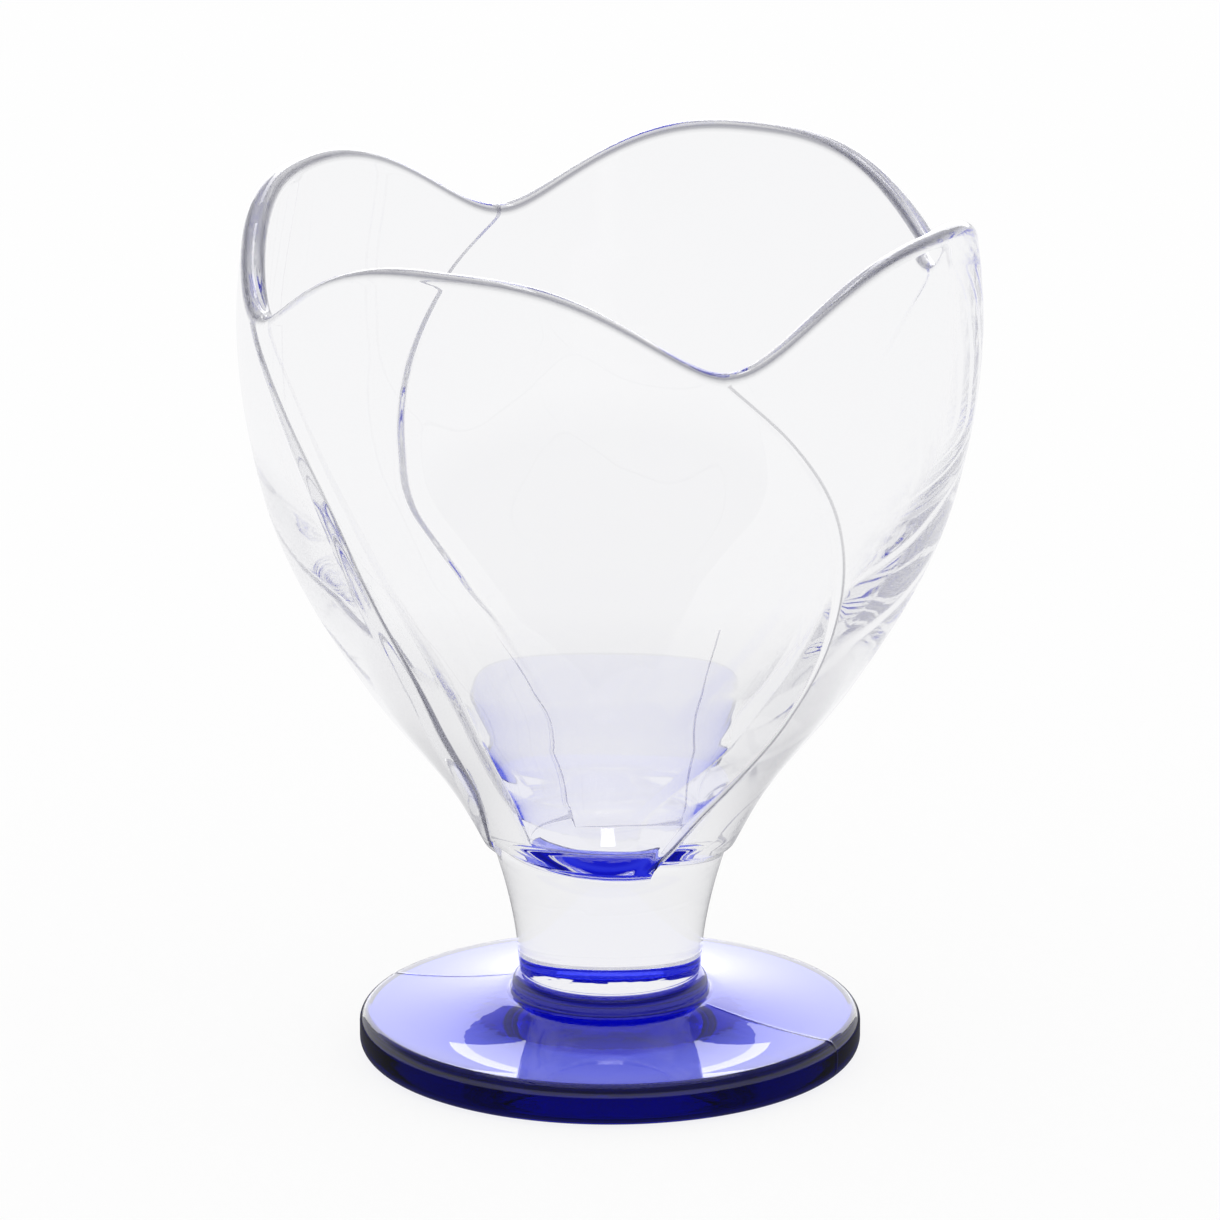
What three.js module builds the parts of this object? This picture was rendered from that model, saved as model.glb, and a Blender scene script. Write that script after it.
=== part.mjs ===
import * as THREE from 'three';

// Ice cream coupe of pressed glass in two fused pieces: a clear tulip bowl of four overlapping petals that
// runs down into a short solid stem, and a blue disc foot. Millimetres, +Z up. It stands on z = 0 with its
// axis on Z. The petals' tops face the X and Y axes, and the dips between them lie on the diagonals.

// Bowl
const height = 121; // top of a petal
const scallop = 12.5; // from there down to the dip between two petals
const petalSpring = 29.4; // lower tip of a petal, on the stem
const tipLift = 2; // how much higher a petal's lower edge ends at its far side
const bowlDiameter = 100; // at its widest, a little below the dips
const rimThickness = 3;
const bellyWall = 8.6; // wall at its thickest, low in the belly, measured level
const floorHeight = 29.3; // middle of the rounded floor inside
const floorRise = 4.2; // from there up to the foot of the wall

// Petals
const petalStep = 1.15; // how far a petal's free edge stands over the next petal
const edgeDegrees = 1.8; // width of the rise at that edge
const petalLip = 0.35; // how far a petal's lower edge stands off the stem
const lipDrop = 0.7; // height of the step there
const lipReach = 11; // height in which that step dies out
const dipRound = 0.28; // rounding of a dip, as a share of the arch beside it
const archFullness = 1.38; // over 1 the top of a petal is broad

// Stem
const stemDiameter = 25.1; // at its hem, where it is narrowest
const stemFlare = 3.4; // growth in radius from the hem to the petals
const flareBend = 1.7; // over 1 the flare comes late
const hemRound = 0.85; // rounded lower edge
const weldHeight = 11.3; // face where the stem is fused to the foot

// Foot
const footDiameter = 69;
const footEdge = 5.9; // thickness at its rim
const footCone = 2.6; // rise of its top from the rim to the collar
const footDish = 0.45; // how far the top sinks below a straight slope on the way
const topRound = 1.7; // rounding of the rim above
const bottomRound = 2.2; // and below
const collarDiameter = 27.2;
const collarRound = 2.2; // height of the collar's round side under the weld
const collarFillet = 1; // width of the fillet at its root
const weldDiameter = 24; // flat top of the collar
const hollowDiameter = 51.8; // under the foot
const hollowDepth = 1.4;

const dips = [45, 135, 225, 315]; // directions of the dips between petals, degrees
const petalColumns = 14;
const footColumns = 60;

const bowlRadius = bowlDiameter / 2;
const stemRadius = stemDiameter / 2;
const springRadius = stemRadius + stemFlare;
const hemTop = weldHeight + hemRound;
const floorTop = floorHeight + floorRise;
const petalDegrees = 360 / dips.length;

// Smooth function through pairs of position and value
function through(pairs) {
  const places = pairs.map((pair) => pair[0]);
  const values = pairs.map((pair) => pair[1]);
  const curve = new THREE.CubicInterpolant(places, values, 1, new Float32Array(1));
  return (t) => curve.evaluate(t)[0];
}

const share = (value, from, to) => THREE.MathUtils.clamp((value - from) / (to - from), 0, 1);
const steps = (count) => Array.from({ length: count + 1 }, (_, i) => i / count);

// From a petal's lower tip to the top: growth of the bowl's outside, from none to its widest
const outsideCurve = through([
  [0, 0], [0.094, 0.144], [0.263, 0.497], [0.47, 0.818], [0.647, 0.955], [0.809, 1], [1, 0.96],
]);
// From the floor to the top: thickness of the wall, from the rim's at 0 to the belly's at 1
const wallCurve = through([
  [0, 0.87], [0.13, 1], [0.25, 0.77], [0.36, 0.38], [0.47, 0.08], [0.6, 0], [1, 0],
]);
// Up a petal: degrees that its free edge swings past its dip, and share of the full step there
const edgeSwing = through([
  [0, 2], [0.056, 12], [0.155, 22.5], [0.33, 28.4], [0.53, 26.5], [0.74, 20], [0.885, 10.5], [1, 0],
]);
const edgeStep = through([[0, 0.48], [0.12, 0.96], [0.4, 1], [0.7, 0.78], [1, 0.43]]);

function stemOutside(z) {
  return stemRadius + stemFlare * share(z, hemTop, petalSpring) ** flareBend;
}

function petalOutside(z) {
  return springRadius + (bowlRadius - springRadius) * outsideCurve(share(z, petalSpring, height));
}

function bowlInside(z) {
  const wall = rimThickness + (bellyWall - rimThickness) * wallCurve(share(z, floorTop, height));
  return petalOutside(z) - wall;
}

// Across one petal u runs back from its free edge at 0 to the next petal's edge at 1
const edgeWidth = edgeDegrees / petalDegrees;
const acrossPetal = [...steps(petalColumns - 2).slice(1).map((t) => 1 - t * (1 - edgeWidth)), 0];
const columns = dips.flatMap((dip) => acrossPetal.map((u) => ({ dip, u })));

// The rim rises from each dip in a wide arch, with the dip itself rounded
function rimLevel(u) {
  const arch = Math.hypot(Math.sin(Math.PI * u), dipRound) - dipRound;
  const full = Math.hypot(1, dipRound) - dipRound;
  return height - scallop * (1 - arch / full) ** archFullness;
}

// Height of a petal over a plain bowl: proud at its free edge, level where it goes under the next one
function petalHeight(u, up) {
  return petalStep * edgeStep(up) * (1 - u) * Math.min(u / edgeWidth, 1);
}

const lowerEdge = (u) => petalSpring + tipLift * u ** 2;

function lipHeight(u, z) {
  return petalLip * (1 - share(z, lowerEdge(u), lowerEdge(u) + lipReach));
}

function ring(swing, radius, level) {
  return columns.map(({ dip, u }) => {
    const angle = THREE.MathUtils.degToRad(dip + swing - petalDegrees * u);
    const z = level(u);
    const r = radius(u, z);
    return new THREE.Vector3(r * Math.cos(angle), r * Math.sin(angle), z);
  });
}

// Closed surface over rings of equally many points, ending on a middle point at each end
function closedSkin(rings, firstLevel, lastLevel) {
  const count = rings[0].length;
  const middles = [firstLevel, lastLevel].map((z) => new THREE.Vector3(0, 0, z));
  const points = [...rings.flat(), ...middles];
  const lastRing = (rings.length - 1) * count;
  const triangles = [];
  for (let j = 0; j < count; j += 1) {
    const k = (j + 1) % count;
    triangles.push(points.length - 2, k, j);
    for (let i = 0; i < lastRing; i += count) {
      triangles.push(i + j, i + k, i + count + k, i + j, i + count + k, i + count + j);
    }
    triangles.push(points.length - 1, lastRing + j, lastRing + k);
  }
  const geometry = new THREE.BufferGeometry().setFromPoints(points);
  geometry.setIndex(triangles);
  geometry.computeVertexNormals();
  return geometry;
}

function bowlGeometry() {
  const rings = [];
  const stemSwing = edgeSwing(0);
  const rimRound = rimThickness / 2;
  const rimBase = (u) => rimLevel(u) - rimRound;

  // Rounded hem of the stem, then its shaft up to the petals' lip
  for (const t of steps(3)) {
    const turn = t * Math.PI / 2;
    const radius = stemRadius - hemRound * (1 - Math.sin(turn));
    const level = weldHeight + hemRound * (1 - Math.cos(turn));
    rings.push(ring(stemSwing, () => radius, () => level));
  }
  for (const t of [0.3, 0.6, 0.85]) {
    const level = THREE.MathUtils.lerp(hemTop, petalSpring, t);
    rings.push(ring(stemSwing, (u, z) => stemOutside(z), () => level));
  }
  rings.push(ring(stemSwing, (u, z) => stemOutside(z), (u) => lowerEdge(u) - lipDrop));

  // Petals from their lower edge to the rim, closer together where they start
  for (const t of steps(17)) {
    const up = t ** 1.2;
    rings.push(ring(
      edgeSwing(up),
      (u, z) => petalOutside(z) + petalHeight(u, up) + lipHeight(u, z),
      (u) => THREE.MathUtils.lerp(lowerEdge(u), rimBase(u), up),
    ));
  }

  // Rounded rim
  for (const t of [0.2, 0.4, 0.6, 0.8]) {
    const turn = t * Math.PI;
    rings.push(ring(
      0,
      (u) => {
        const outer = petalOutside(rimBase(u)) + petalHeight(u, 1);
        const inner = bowlInside(rimBase(u));
        return (outer + inner) / 2 + (outer - inner) / 2 * Math.cos(turn);
      },
      (u) => rimBase(u) + rimRound * Math.sin(turn),
    ));
  }

  // Inside, down to the rounded floor
  for (const t of steps(17)) {
    const level = (u) => THREE.MathUtils.lerp(rimBase(u), floorTop, t);
    rings.push(ring(0, (u, z) => bowlInside(z), level));
  }
  for (const t of [0.8, 0.55, 0.3]) {
    rings.push(ring(0, () => bowlInside(floorTop) * t, () => floorHeight + floorRise * t ** 2));
  }
  return closedSkin(rings, weldHeight, floorHeight);
}

// Section points along a quarter of an ellipse that leaves its first point upright
function quarterFrom(r0, z0, r1, z1) {
  return steps(4).map((t) => {
    const turn = t * Math.PI / 2;
    return [r1 + (r0 - r1) * Math.cos(turn), z0 + (z1 - z0) * Math.sin(turn)];
  });
}

function footGeometry() {
  const footRadius = footDiameter / 2;
  const collarRadius = collarDiameter / 2;
  const hollowRadius = hollowDiameter / 2;
  const coneTop = footEdge + footCone;
  const collarRoot = weldHeight - collarRound;

  const section = [0.35, 0.7, 1].map((t) => [t * hollowRadius, hollowDepth * (1 - t ** 2)]);
  section.push(...quarterFrom(footRadius, bottomRound, footRadius - bottomRound, 0).reverse());
  section.push(...quarterFrom(footRadius, footEdge - topRound, footRadius - topRound, footEdge));
  for (const t of [0.2, 0.4, 0.6, 0.8]) {
    const r = THREE.MathUtils.lerp(footRadius - topRound, collarRadius + collarFillet, t);
    section.push([r, footEdge + footCone * t - footDish * 4 * t * (1 - t)]);
  }
  section.push(...quarterFrom(collarRadius, collarRoot, collarRadius + collarFillet, coneTop).reverse());
  section.push(...quarterFrom(collarRadius, collarRoot, weldDiameter / 2, weldHeight).slice(1));

  const rings = section.map(([r, z]) => steps(footColumns).slice(1).map((t) => {
    const angle = 2 * Math.PI * t;
    return new THREE.Vector3(r * Math.cos(angle), r * Math.sin(angle), z);
  }));
  return closedSkin(rings, hollowDepth, weldHeight);
}

function piece(name, geometry, look) {
  const mesh = new THREE.Mesh(geometry, new THREE.MeshStandardMaterial(look));
  mesh.name = name;
  return mesh;
}

const coupe = new THREE.Group();
coupe.name = 'ice_cream_coupe';
const clearGlass = { color: 0xeef3f4, roughness: 0.05, transparent: true, opacity: 0.35 };
const blueGlass = { color: 0x2430c0, roughness: 0.05, transparent: true, opacity: 0.7 };
coupe.add(piece('bowl', bowlGeometry(), clearGlass));
coupe.add(piece('foot', footGeometry(), blueGlass));

export default coupe;
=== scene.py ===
import math

import bpy
import numpy as np
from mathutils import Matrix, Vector


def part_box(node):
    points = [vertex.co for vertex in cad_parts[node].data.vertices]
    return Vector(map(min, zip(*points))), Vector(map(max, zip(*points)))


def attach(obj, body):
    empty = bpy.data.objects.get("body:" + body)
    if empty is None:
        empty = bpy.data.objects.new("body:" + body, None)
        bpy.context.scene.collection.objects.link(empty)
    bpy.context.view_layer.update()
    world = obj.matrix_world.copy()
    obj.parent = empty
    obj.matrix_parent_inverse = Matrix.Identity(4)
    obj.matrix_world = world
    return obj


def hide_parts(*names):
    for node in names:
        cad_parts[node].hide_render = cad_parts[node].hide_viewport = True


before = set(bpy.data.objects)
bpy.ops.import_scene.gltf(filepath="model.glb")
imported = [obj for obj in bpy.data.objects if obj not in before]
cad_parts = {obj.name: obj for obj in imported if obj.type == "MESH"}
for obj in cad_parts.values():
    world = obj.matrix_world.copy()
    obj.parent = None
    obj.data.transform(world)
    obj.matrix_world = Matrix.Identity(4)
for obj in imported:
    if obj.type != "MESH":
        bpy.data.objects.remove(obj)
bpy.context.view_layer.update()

# Foot: a disc of cobalt blue glass, pressed in a mould of two halves whose parting left a fine seam on top
# and on the rim. The top rises gently to a flared collar, which is fused to the stem while both are hot, and
# the underside is hollowed a little, so that the coupe stands on a ring. Sizes are in millimetres.
MM = 0.001
foot_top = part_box("foot")[1] / MM
foot_radius = foot_top.x
weld_height = foot_top.z
foot_edge = 5.9
foot_cone = 2.6
foot_dish = 0.45
top_round = 1.7
bottom_round = 2.2
hollow_radius = 25.9
hollow_depth = 1.4
collar_radius = 13.6
collar_root = 9.1
collar_fillet = 1.0
weld_radius = 12
weld_gap = 0.03
weld_reach = 10.5
weld_front = 1.2
weld_raggedness = 9
seam_height = 0.05
seam_degrees = 0.5
scene = bpy.context.scene


def quarter(from_r, from_z, to_r, to_z, count=10):
    """Points along a quarter of an ellipse that leaves its first point upright and comes in level."""
    turn = np.linspace(0, math.pi / 2, count)
    return list(zip(to_r + (from_r - to_r) * np.cos(turn), from_z + (to_z - from_z) * np.sin(turn)))


def foot_outline():
    """Half section of the foot, from the middle of its underside round the rim to the weld."""
    cone_top = foot_edge + foot_cone
    cone_foot = collar_radius + collar_fillet
    shoulder = foot_radius - top_round
    points = [(t * hollow_radius, hollow_depth * (1 - t ** 2)) for t in np.linspace(0.1, 1, 14)]
    points += quarter(foot_radius, bottom_round, foot_radius - bottom_round, 0)[::-1]
    points += quarter(foot_radius, foot_edge - top_round, shoulder, foot_edge)
    for t in np.linspace(0, 1, 14)[1:-1]:
        level = foot_edge + foot_cone * t - foot_dish * 4 * t * (1 - t)
        points.append((shoulder + t * (cone_foot - shoulder), level))
    points += quarter(collar_radius, collar_root, cone_foot, cone_top)[::-1]
    points += quarter(collar_radius, collar_root, weld_radius, weld_height - weld_gap, 14)[1:]
    return np.array(points)


def skin(name, rings, first_middle, last_middle):
    """Closed smooth mesh over rings of equally many points, with a middle point at each end."""
    count = len(rings[0])
    points = np.concatenate([*rings, [first_middle], [last_middle]]) * MM
    first, last = len(points) - 2, len(points) - 1
    faces = []
    for j in range(count):
        k = (j + 1) % count
        faces.append((first, k, j))
        faces += [(i + j, i + k, i + count + k, i + count + j) for i in range(0, first - count, count)]
        faces.append((last, first - count + j, first - count + k))
    mesh = bpy.data.meshes.new(name)
    mesh.from_pydata(points.tolist(), [], faces)
    mesh.shade_smooth()
    made = bpy.data.objects.new(name, mesh)
    scene.collection.objects.link(made)
    return made


def ring(radius, level, angle):
    """Points of one ring about the axis."""
    return np.stack(np.broadcast_arrays(radius * np.cos(angle), radius * np.sin(angle), level), axis=1)


def mark_painted_shade(made, depths):
    """Keep with the mesh how much painted shade its first points get; the others get none."""
    marks = np.pad(depths, (0, len(made.data.vertices) - len(depths)))
    made.data.attributes.new("painted_shade", "FLOAT", "POINT").data.foreach_set("value", marks)


def foot_mesh():
    outline = foot_outline()
    along = np.gradient(outline, axis=0)
    outward = np.stack([along[:, 1], -along[:, 0]], axis=1) / np.linalg.norm(along, axis=1)[:, None]
    half_turn = np.concatenate([np.linspace(-2, 2, 17) * seam_degrees, np.linspace(2.5, 177.5, 115)])
    angle = np.radians(np.concatenate([half_turn, half_turn + 180]))
    beside_seam = np.degrees(np.abs(np.sin(angle))) / seam_degrees
    ridge = seam_height * np.exp(-beside_seam ** 2)
    rings = []
    for (r, z), (out, up) in zip(outline, outward):
        seamed = r > collar_radius + collar_fillet and z > 0.2 * foot_edge
        lift = ridge * seamed
        rings.append(ring(r + out * lift, z + up * lift, angle))
    made = skin("blue_foot", rings, (0, 0, hollow_depth), (0, 0, weld_height - weld_gap))
    # Painted shade: the rim's side, between the roundings, is marked to be darkened almost to black
    side = [r > foot_radius - 0.4 * top_round for r, z in outline]
    mark_painted_shade(made, np.repeat(side, len(angle)) * 0.95)
    return made


class Signal:
    """A socket in a shader, with arithmetic that adds Math nodes."""

    def __init__(self, tree, socket=None):
        self.tree = tree
        self.socket = socket

    def node(self, kind, settings=None, sockets=None, out=0):
        """New node: its settings go in first, then the values or links of its sockets."""
        made = self.tree.nodes.new("ShaderNode" + kind)
        for name, value in (settings or {}).items():
            if name == "stops":
                for stop, (position, colour) in zip(made.color_ramp.elements, value):
                    stop.position = position
                    stop.color = (*colour, 1)
            else:
                setattr(made, name, value)
        for name, value in (sockets or {}).items():
            if isinstance(value, Signal):
                self.tree.links.new(value.socket, made.inputs[name])
            else:
                made.inputs[name].default_value = value
        return Signal(self.tree, made.outputs[out] if made.outputs else None)

    def maths(self, operation, first, second):
        return self.node("Math", {"operation": operation}, {0: first, 1: second})

    def __add__(self, other):
        return self.maths("ADD", self, other)

    __radd__ = __add__

    def __mul__(self, other):
        return self.maths("MULTIPLY", self, other)

    __rmul__ = __mul__

    def __sub__(self, other):
        return self.maths("SUBTRACT", self, other)

    def __rsub__(self, other):
        return self.maths("SUBTRACT", other, self)

    def __lt__(self, other):
        return self.maths("LESS_THAN", self, other)

    def __gt__(self, other):
        return self.maths("GREATER_THAN", self, other)


def pressed_glass(name, seen_through, per_metre, weld_level, chill):
    """Fire-polished glass that takes up light by depth, with painted shade in places and open where it is
    fused.
    """
    material = bpy.data.materials.new(name)
    material.use_nodes = True
    tree = material.node_tree
    tree.nodes.clear()
    glass = Signal(tree)
    place = glass.node("TexCoord", out="Object")
    x, y, z = (glass.node("SeparateXYZ", {}, {"Vector": place}, axis) for axis in "XYZ")

    # Soft ripples all over, and chill wrinkles round the collar
    ripple = glass.node("TexNoise", {}, {"Vector": place, "Scale": 70, "Detail": 1.5}, "Fac")
    wrinkle = glass.node("TexNoise", {}, {"Vector": place, "Scale": 330, "Detail": 2}, "Fac")
    from_axis = glass.maths("SQRT", x * x + y * y, 0)
    near_stem = glass.node(
        "MapRange", {"interpolation_type": "SMOOTHSTEP"},
        {"Value": from_axis, "From Min": 17 * MM, "From Max": 28 * MM, "To Min": 1, "To Max": 0.1},
    )
    relief = 0.04 * ripple + chill * near_stem * wrinkle
    normal = glass.node("Bump", {}, {"Strength": 1, "Distance": 0.1 * MM, "Height": relief})

    # Painted shade: where the mesh is marked, light that comes in is darkened
    painted_shade = glass.node("Attribute", {"attribute_name": "painted_shade"}, out="Fac")
    leaving = glass.node("NewGeometry", out="Backfacing")
    painted_shade_amount = 0.9 * painted_shade * (1 - leaving)
    shaded = glass.node("MixRGB", {}, {"Fac": painted_shade_amount, "Color1": (1, 1, 1, 1), "Color2": (0.02, 0.02, 0.06, 1)})
    smear = glass.node("TexNoise", {}, {"Vector": place, "Scale": 160, "Detail": 4}, "Fac")
    surface = {"Transmission Weight": 1, "Base Color": shaded, "Roughness": 0.012 * smear}
    polished = glass.node("BsdfPrincipled", {}, {**surface, "IOR": 1.51, "Normal": normal})
    fused = glass.node("BsdfPrincipled", {}, {**surface, "IOR": 1.0, "Roughness": 0.0})

    # The weld took on the back of its face, up to a ragged line
    ragged = glass.node("TexNoise", {}, {"Vector": place, "Scale": 260, "Detail": 2}, "Fac")
    to_front = 0.44 * x - 0.9 * y
    taken = to_front + weld_raggedness * MM * (ragged - 0.5) < weld_front * MM
    reach = weld_reach * MM
    level = (z > weld_level - 0.02 * MM) * (z < weld_level + 0.02 * MM)
    weld = taken * (x * x + y * y < reach * reach) * level
    mixed = glass.node("MixShader", {}, {"Fac": weld, 1: polished, 2: fused})
    depth = glass.node("VolumeAbsorption", {}, {"Color": (*seen_through, 1), "Density": per_metre})
    glass.node("OutputMaterial", {}, {"Surface": mixed, "Volume": depth})
    return material


foot = foot_mesh()
foot.data.materials.append(
    pressed_glass("blue_glass", (0.0, 0.1, 0.92), 330, (weld_height - weld_gap) * MM, 0.15)
)
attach(foot, "root")
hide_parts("foot")

# Bowl: clear glass pressed in one piece, a tulip of four petals that runs down into its own solid stem. Each
# petal's free edge stands over the next petal, and the inside is smooth. The rim is fire-polished round, and
# the stem ends in a hem that is fused on the foot's collar.
bowl_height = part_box("bowl")[1].z / MM
scallop = 12.5
dip_round = 0.28
arch_fullness = 1.38
petal_spring = 29.4
tip_lift = 2
bowl_radius = 50
stem_radius = 12.55
stem_flare = 3.4
flare_bend = 1.7
hem_round = 0.85
rim_thickness = 3
rim_round = 1.5
belly_wall = 8.6
petal_lip = 0.35
lip_round = 0.9
lip_share = 0.125
edge_width = 3.2
edge_width_at_rim = 1.2
floor_height = 29.3
floor_rise = 4.2
dips = (45, 135, 225, 315)
spring_radius = stem_radius + stem_flare
hem_top = weld_height + hem_round
floor_top = floor_height + floor_rise


def smooth_curve(points):
    """Smooth function through pairs of place and value, with the mean slope of the stretches beside each."""
    places, values = np.array(points, float).T
    rises = np.diff(values) / np.diff(places)
    slopes = np.concatenate([rises[:1], (rises[1:] + rises[:-1]) / 2, rises[-1:]])

    def value(at):
        at = np.clip(at, places[0], places[-1])
        i = np.clip(np.searchsorted(places, at) - 1, 0, len(rises) - 1)
        span = places[i + 1] - places[i]
        t = (at - places[i]) / span
        from_first = values[i] * (1 + 2 * t) + span * slopes[i] * t
        from_second = values[i + 1] * (3 - 2 * t) + span * slopes[i + 1] * (t - 1)
        return from_first * (1 - t) ** 2 + from_second * t ** 2

    return value


# Up the petals: growth of the outside, from none to its widest
outside_share = smooth_curve(
    [(0, 0), (0.094, 0.144), (0.263, 0.497), (0.47, 0.818), (0.647, 0.955), (0.809, 1), (1, 0.96)]
)
# From the floor to the top: thickness of the wall, from the rim's at 0 to the belly's at 1
wall_share = smooth_curve(
    [(0, 0.82), (0.06, 0.95), (0.13, 1), (0.234, 0.85), (0.326, 0.62), (0.417, 0.38), (0.5, 0.18),
     (0.6, 0.02), (0.7, 0), (1, 0)]
)
# Up a petal: degrees that its free edge swings past its dip, and height of the step there
edge_swing = smooth_curve(
    [(0, 2), (0.056, 12), (0.155, 22.5), (0.33, 28.4), (0.53, 26.5), (0.74, 20), (0.885, 10.5), (1, 0)]
)
edge_step = smooth_curve([(0, 0.55), (0.12, 1.1), (0.4, 1.15), (0.7, 0.9), (1, 0.5)])


def petal_outside(z):
    share = (z - petal_spring) / (bowl_height - petal_spring)
    return spring_radius + (bowl_radius - spring_radius) * outside_share(share)


def bowl_inside(z):
    share = (z - floor_top) / (bowl_height - floor_top)
    return petal_outside(z) - rim_thickness - (belly_wall - rim_thickness) * wall_share(share)


def stem_outside(z):
    return stem_radius + stem_flare * np.clip((z - hem_top) / (petal_spring - hem_top), 0, 1) ** flare_bend


def soft_step(t):
    t = np.clip(t, 0, 1)
    return t * t * (3 - 2 * t)


def bowl_mesh():
    # Across a petal, u runs from the next petal's edge at 1 to its own free edge at 0
    wide, narrow = np.linspace(1, 0.06, 70)[1:], np.linspace(0.06, 0, 24)[1:]
    across = np.concatenate([wide, narrow])
    u = np.tile(across, len(dips))
    dip = np.repeat(dips, len(across))
    arch = (np.hypot(np.sin(math.pi * u), dip_round) - dip_round) / (math.hypot(1, dip_round) - dip_round)
    rim = bowl_height - scallop * (1 - arch) ** arch_fullness - rim_round
    lower_edge = petal_spring + tip_lift * u ** 2

    def angle(swing):
        return np.radians(dip + swing - 90 * u)

    def from_edge(level):
        return u * math.pi / 2 * petal_outside(level)

    def petal_height(level, up):
        # A petal stands proud along its free edge and is level where it goes under the next one
        width = edge_width + (edge_width_at_rim - edge_width) * soft_step((up - 0.74) / 0.2)
        return edge_step(up) * (1 - u) * soft_step(from_edge(level) / width)

    def painted_crease_shade(level, up):
        # Painted shade along the root of the step, wider low down and fainter above
        end = 0.55 + 0.6 * soft_step((0.5 - up) / 0.25)
        strength = 1 - 0.4 * soft_step((up - 0.5) / 0.2)
        away = from_edge(level)
        return strength * soft_step((away - 0.05) / 0.2) * (1 - soft_step((away - end) / 0.3))

    at_stem = angle(edge_swing(0))

    # Flat end of the stem with its rounded hem, and the shaft up to the petals' lower edge
    rings = [ring(0.5 * weld_radius, weld_height, at_stem)]
    for turn in np.linspace(0, math.pi / 2, 10):
        out = stem_radius - hem_round * (1 - math.sin(turn))
        rings.append(ring(out, weld_height + hem_round * (1 - math.cos(turn)), at_stem))
    for t in np.linspace(0, 1, 24)[1:]:
        level = hem_top + t * (lower_edge - hem_top)
        rings.append(ring(stem_outside(level), level, at_stem))

    # Outside of the petals, from their rounded lower lip to the rim
    for turn in np.linspace(0.15, math.pi / 2, 8):
        level = lower_edge + lip_round * (1 - math.cos(turn))
        full = petal_outside(level) + petal_height(level, 0) + petal_lip
        stem = stem_outside(level)
        rings.append(ring(stem + (full - stem) * math.sin(turn), level, at_stem))
    painted_shade_amount = [np.zeros(len(rings) * len(u))]
    for up in np.linspace(0, 1, 140)[1:]:
        level = lower_edge + lip_round + up * (rim - lower_edge - lip_round)
        lip = petal_lip * max(1 - up / lip_share, 0)
        out = petal_outside(level) + petal_height(level, up) + lip
        rings.append(ring(out, level, angle(edge_swing(up))))
        painted_shade_amount.append(painted_crease_shade(level, up))

    # Rounded rim with a painted dark line of shade on each shoulder, then the smooth inside down to the
    # floor
    at_rim = angle(0)
    outer = petal_outside(rim) + petal_height(rim, 1)
    inner = bowl_inside(rim)
    for turn in np.linspace(0, math.pi, 14)[1:-1]:
        middle = (outer + inner) / 2 + (outer - inner) / 2 * math.cos(turn)
        rings.append(ring(middle, rim + rim_round * math.sin(turn), at_rim))
        shoulders = sum(math.exp(-((turn - line) / 0.35) ** 2) for line in (0.8, 2.5))
        painted_shade_amount.append(np.full(len(u), shoulders))
    for t in np.linspace(0, 1, 80):
        level = rim + t * (floor_top - rim)
        rings.append(ring(bowl_inside(level), level, at_rim))
    for t in np.linspace(1, 0, 16)[1:-1]:
        rings.append(ring(bowl_inside(floor_top) * t, floor_height + floor_rise * t ** 2, at_rim))
    made = skin("clear_bowl", rings, (0, 0, weld_height), (0, 0, floor_height))
    mark_painted_shade(made, np.concatenate(painted_shade_amount))
    return made


bowl = bowl_mesh()
bowl.data.materials.append(pressed_glass("clear_glass", (0.0, 0.0, 0.1), 0.8, weld_height * MM, 0))
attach(bowl, "root")
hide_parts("bowl")

# Stage: a plain white floor that shows the shadow, with soft light from all round. Glass sees the floor and
# the walls white, as in a studio, with painted shade on the floor near the foot, and a greyer ceiling. Three
# lamps are seen as reflections in the glass.
bpy.ops.mesh.primitive_plane_add(size=8, location=(0, 0, -0.2 * MM))
floor = bpy.context.object
floor.name = "studio_floor"
paper = bpy.data.materials.new("white_paper")
paper.use_nodes = True
paper.node_tree.nodes.clear()
sheet = Signal(paper.node_tree)
camera_ray, glossy_ray, through_ray = (
    sheet.node("LightPath", out=name) for name in ("Is Camera Ray", "Is Glossy Ray", "Is Transmission Ray")
)
spot = sheet.node("TexCoord", out="Object")
over, along = (sheet.node("SeparateXYZ", {}, {"Vector": spot}, axis) for axis in "XY")
from_axis = sheet.maths("SQRT", over * over + along * along, 0)

# Painted shadow: seen through the glass, the floor under the stem is tinted blue and darkened. Painted
# shade: close to the foot the floor is dark in reflections
under = sheet.node(
    "ValToRGB", {"stops": [(0.2, (0.2, 0.2, 0.8)), (0.32, (1, 1, 1))]}, {"Fac": from_axis * (1 / (40 * MM))}
)
paper_with_painted_shadow = sheet.node(
    "MixRGB", {"blend_type": "MULTIPLY"},
    {"Fac": through_ray, "Color1": under, "Color2": (0.93, 0.93, 0.94, 1)},
)
painted_shade_near_foot = sheet.node(
    "ValToRGB", {"stops": [(0.3, (0.1, 0.1, 0.12)), (0.5, (0.95, 0.95, 0.96))]},
    {"Fac": from_axis * (1 / (200 * MM))},
)
matt = sheet.node("BsdfDiffuse", {}, {"Color": (0.95, 0.95, 0.95, 1)})
lit = sheet.node("Emission", {}, {"Color": paper_with_painted_shadow, "Strength": 1})
dark = sheet.node("Emission", {}, {"Color": painted_shade_near_foot, "Strength": 1})
mirrored = sheet.node("MixShader", {}, {"Fac": glossy_ray, 1: matt, 2: dark})
seen_white = sheet.maths("MAXIMUM", 0.85 * camera_ray, through_ray)
shown = sheet.node("MixShader", {}, {"Fac": seen_white, 1: mirrored, 2: lit})
sheet.node("OutputMaterial", {}, {"Surface": shown})
floor.data.materials.append(paper)

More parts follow.
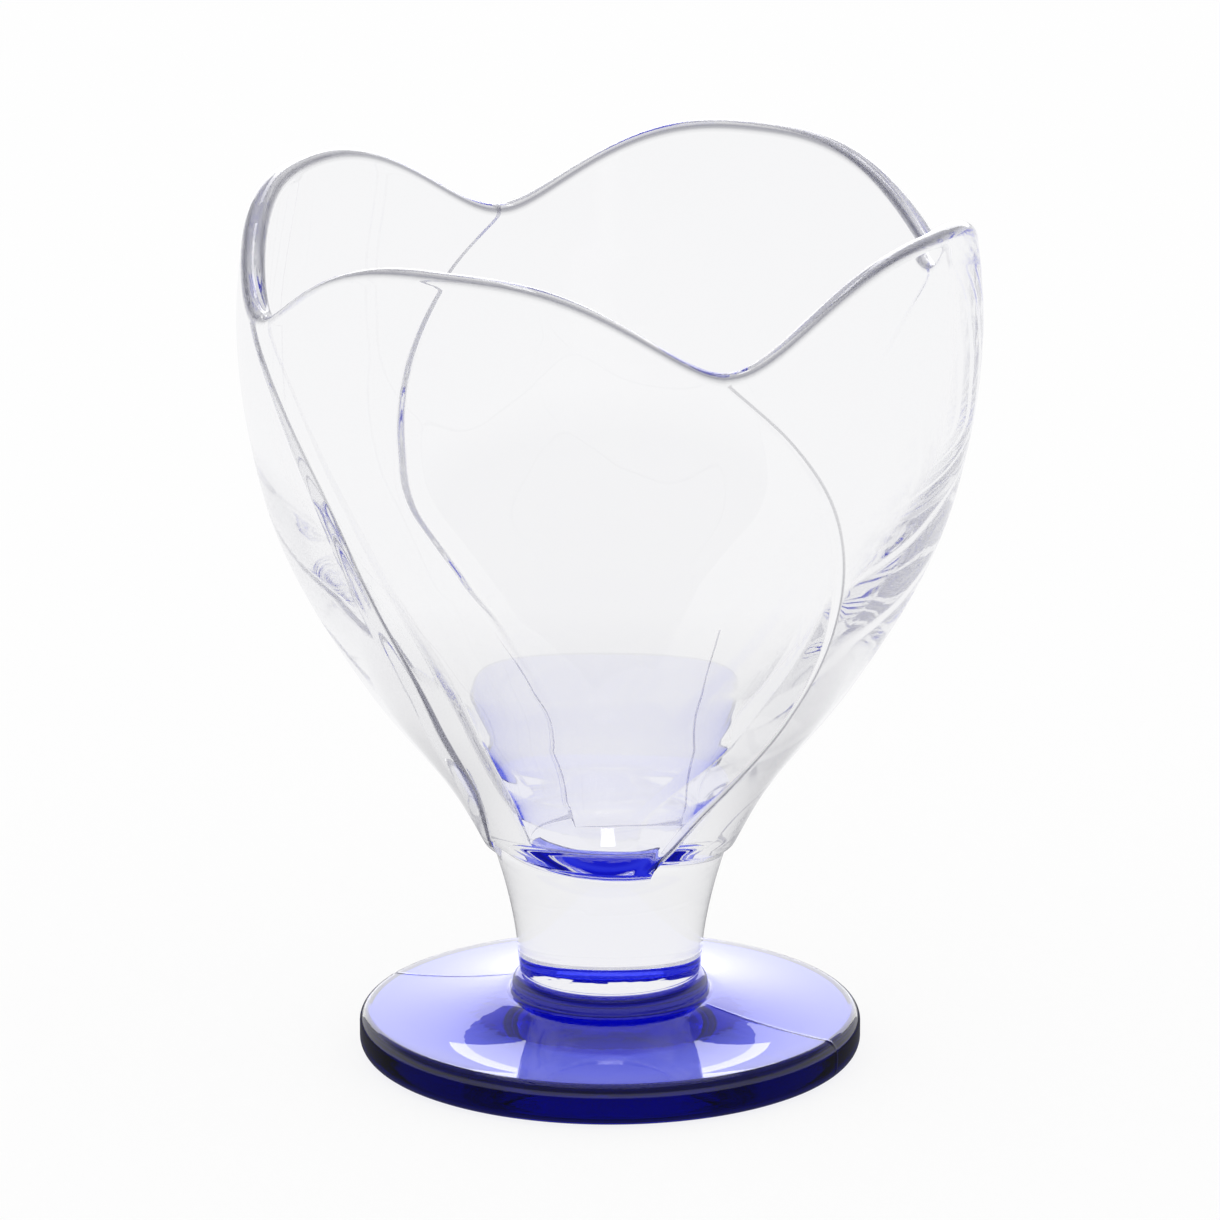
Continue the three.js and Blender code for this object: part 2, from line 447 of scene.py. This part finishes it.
studio = bpy.data.worlds.new("studio")
studio.use_nodes = True
studio.node_tree.nodes.clear()
air = Signal(studio.node_tree)
direction = air.node("TexCoord", out="Generated")
height_of_ray = air.node("SeparateXYZ", {}, {"Vector": direction}, "Z")
mirrored = air.node(
    "ValToRGB", {"stops": [(0.4, (1, 1, 1)), (0.6, (0.25, 0.25, 0.3))]}, {"Fac": height_of_ray}
)
through = air.node(
    "ValToRGB", {"stops": [(0.5, (0.93, 0.93, 0.94)), (0.8, (0.7, 0.7, 0.74))]}, {"Fac": height_of_ray}
)
glossy_ray, through_ray = (
    air.node("LightPath", out=name) for name in ("Is Glossy Ray", "Is Transmission Ray")
)
seen = air.node("MixRGB", {}, {"Fac": glossy_ray, "Color1": (1, 1, 1, 1), "Color2": mirrored})
colour = air.node("MixRGB", {}, {"Fac": through_ray, "Color1": seen, "Color2": through})
sky = air.node("Background", {}, {"Color": colour, "Strength": 1})
air.node("OutputWorld", {}, {"Surface": sky})
scene.world = studio


def softbox(name, azimuth, elevation, distance, width, height, radiance):
    """Area lamp that faces the coupe, set by the brightness that a reflection of it has."""
    lamp = bpy.data.lights.new(name, "AREA")
    lamp.shape = "RECTANGLE"
    lamp.size = width
    lamp.size_y = height
    lamp.energy = radiance * math.pi * width * height
    box = bpy.data.objects.new(name, lamp)
    level = math.cos(elevation)
    away = Vector((math.cos(azimuth) * level, math.sin(azimuth) * level, math.sin(elevation)))
    box.location = distance * away
    box.rotation_euler = away.to_track_quat("Z", "Y").to_euler()
    box.visible_diffuse = False
    box.visible_transmission = False
    scene.collection.objects.link(box)


behind = math.radians(116.35)
softbox("back_light", behind, math.radians(42), 1.2, 0.24, 0.69, 3)
softbox("backdrop_light", behind, math.radians(10), 1.5, 1.4, 0.95, 1.9)
softbox("top_light", behind, math.radians(78), 1.0, 0.16, 0.3, 5)

# Camera: a long lens a little over a metre away, looking down on the coupe
turn = math.radians(26.35)
tilt = math.radians(16.25)
aim = Vector((0, 0, 62.8 * MM))
distance = 1.36275
back = Vector((math.sin(turn) * math.cos(tilt), -math.cos(turn) * math.cos(tilt), math.sin(tilt)))
lens = bpy.data.cameras.new("camera")
lens.sensor_width = 36
lens.lens = 295.1
lens.clip_end = 50
camera = bpy.data.objects.new("camera", lens)
camera.location = aim + distance * back
camera.rotation_euler = (-back).to_track_quat("-Z", "Y").to_euler()
scene.collection.objects.link(camera)
scene.camera = camera

# Light goes round in the wall of the bowl many times before it leaves
scene.view_settings.view_transform = "Standard"
scene.cycles.max_bounces = 200
scene.cycles.transmission_bounces = 200
scene.cycles.glossy_bounces = 200
scene.cycles.transparent_max_bounces = 32
